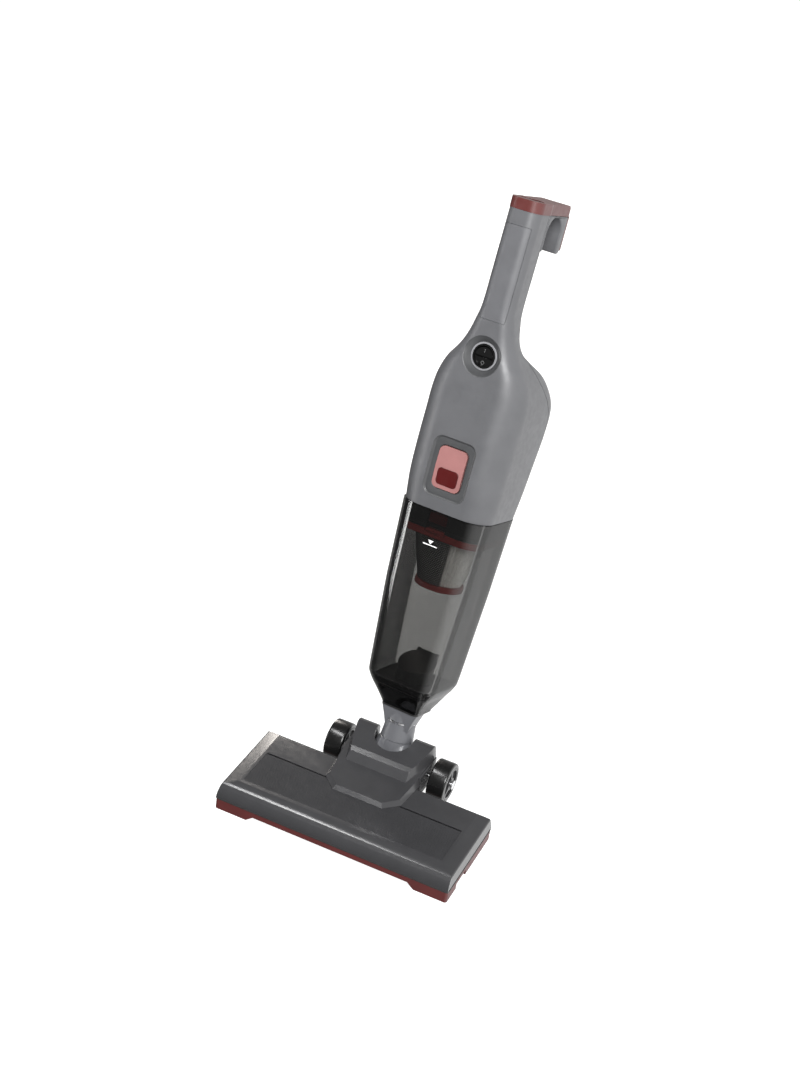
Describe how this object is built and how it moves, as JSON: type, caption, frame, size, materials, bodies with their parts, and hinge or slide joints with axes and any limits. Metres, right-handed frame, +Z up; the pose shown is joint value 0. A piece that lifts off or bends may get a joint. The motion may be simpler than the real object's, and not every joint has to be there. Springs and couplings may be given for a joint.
{
  "type": "stick vacuum cleaner",
  "caption": "Upright stick vacuum: slim motor unit with grip and hook, clear dust cup with cone filter, swivelling neck and wide flat floor head on two wheels.",
  "frame": {"origin": "on the floor under the centre of the floor head", "axes": "+Z up from the floor, +X to the machine's right, +Y to the rear; the head's front edge faces -Y and the stick leans back towards +Y"},
  "size_m": [0.26, 0.3631, 0.6082],
  "materials": {
    "housing": "satin",
    "housing_rear": "satin",
    "inlay": "soft satin",
    "cap_red": "satin",
    "bezel": "satin",
    "switch_black": "gloss",
    "button_pink": "gloss",
    "pad_red": "satin",
    "steel": "brushed",
    "black_plastic": "matte",
    "seal_rubber": "matte",
    "motor_metal": "zinc plated",
    "copper": "enamelled wire",
    "brush_holder": "plain",
    "foam": "open-cell foam",
    "aluminium": "bright",
    "laminations": "varnished",
    "filter_red": "satin",
    "filter_paper": "pleated",
    "mesh": "perforated",
    "clear_cup": "clear smoked plastic",
    "mark_white": "printed",
    "neck_grey": "satin",
    "head_grey": "satin",
    "base_red": "matte",
    "felt": "felt",
    "bristle": "bristles",
    "tyre_black": "gloss",
    "hub_grey": "satin"
  },
  "bodies": {
    "motor_unit": {"front_shell": "housing", "rear_shell": "housing_rear", "grip_inlay": "inlay", "top_cap": "cap_red", "switch_bezel": "bezel", "switch_body": "switch_black", "button_pin": "steel", "button_spring": "steel", "bulkhead": "black_plastic", "cup_seal": "seal_rubber", "fan_shroud": "motor_metal", "motor_can": "motor_metal", "field_coils": "copper", "motor_bracket_lower": "aluminium", "motor_bracket_upper": "aluminium", "motor_bearings": "steel", "carbon_brushes": "brush_holder", "motor_mounts": "seal_rubber", "vent_grille": "black_plastic", "exhaust_foam": "foam", "housing_screws": "steel", "cord_gland": "seal_rubber"},
    "rotor": {"motor_shaft": "steel", "armature": "laminations", "commutator": "copper", "fan_impeller": "aluminium", "fan_nut": "steel"},
    "power_rocker": {"switch_rocker": "switch_black"},
    "cup_button": {"release_button": "button_pink", "button_pad": "pad_red", "latch_tongue": "pad_red"},
    "filter_set": {"filter_flange": "filter_red", "pleated_filter": "filter_paper", "mesh_screen": "mesh", "filter_cap": "filter_red"},
    "cup": {"dust_cup": "clear_cup", "socket_liner": "black_plastic", "inlet_duct": "black_plastic", "flap_pin": "steel", "level_mark": "mark_white"},
    "flap": {"inlet_flap": "black_plastic"},
    "neck": {"neck_adapter": "neck_grey", "neck_seal": "seal_rubber"},
    "elbow": {"elbow_barrel": "neck_grey", "swivel_ring": "steel"},
    "floor_head": {"head_cover": "head_grey", "head_base": "base_red", "head_gasket": "seal_rubber", "hood": "head_grey", "hood_floor": "black_plastic", "suction_duct": "black_plastic", "brush_strips": "bristle", "felt_pads": "felt", "base_screws": "steel", "wheel_axles": "steel"},
    "left_wheel": {"wheel_tyre_left": "tyre_black", "wheel_hub_left": "hub_grey"},
    "right_wheel": {"wheel_tyre_right": "tyre_black", "wheel_hub_right": "hub_grey"}
  },
  "joints": [
    {"name": "motor_spin", "type": "hinge", "parent": "motor_unit", "child": "rotor", "pos_m": [0, 0.18888, 0.33934], "axis": [0, 0.309, 0.9511], "continuous": true},
    {"name": "power_switch", "type": "hinge", "parent": "motor_unit", "child": "power_rocker", "pos_m": [-0.00433, 0.18998, 0.45675], "axis": [-0.9925, 0.1159, -0.0377], "range_deg": [0, 14]},
    {"name": "cup_release", "type": "hinge", "parent": "motor_unit", "child": "cup_button", "pos_m": [-0.00542, 0.15151, 0.36725], "axis": [0.9925, -0.1159, 0.0377], "range_deg": [0, 4], "stiffness_Nm_per_rad": 0.3, "springref_deg": -3.44},
    {"name": "filter_draw", "type": "slide", "parent": "motor_unit", "child": "filter_set", "axis": [0, -0.309, -0.9511], "range_m": [0, 0.045]},
    {"name": "cup_slide", "type": "slide", "parent": "motor_unit", "child": "cup", "axis": [0, -0.309, -0.9511], "range_m": [0, 0.1]},
    {"name": "flap_hinge", "type": "hinge", "parent": "cup", "child": "flap", "pos_m": [0.00256, 0.14258, 0.12937], "axis": [-0.9925, 0.1159, -0.0377], "range_deg": [0, 60]},
    {"name": "neck_pull", "type": "slide", "parent": "cup", "child": "neck", "axis": [0, -0.309, -0.9511], "range_m": [0, 0.04]},
    {"name": "neck_swivel", "type": "hinge", "parent": "neck", "child": "elbow", "pos_m": [0, 0.09, 0.035], "axis": [0, 0.309, 0.9511], "range_deg": [-67, 53]},
    {"name": "neck_tilt", "type": "hinge", "parent": "elbow", "child": "floor_head", "pos_m": [0, 0.09, 0.035], "axis": [1, 0, 0], "range_deg": [-18, 62]},
    {"name": "left_wheel_spin", "type": "hinge", "parent": "floor_head", "child": "left_wheel", "pos_m": [-0.05975, 0.0865, 0.022], "axis": [1, 0, 0], "continuous": true},
    {"name": "right_wheel_spin", "type": "hinge", "parent": "floor_head", "child": "right_wheel", "pos_m": [0.05975, 0.0865, 0.022], "axis": [1, 0, 0], "continuous": true}
  ],
  "couplings": [
    {"joint": "filter_draw", "follows": "cup_slide", "ratio": 0.45}
  ]
}
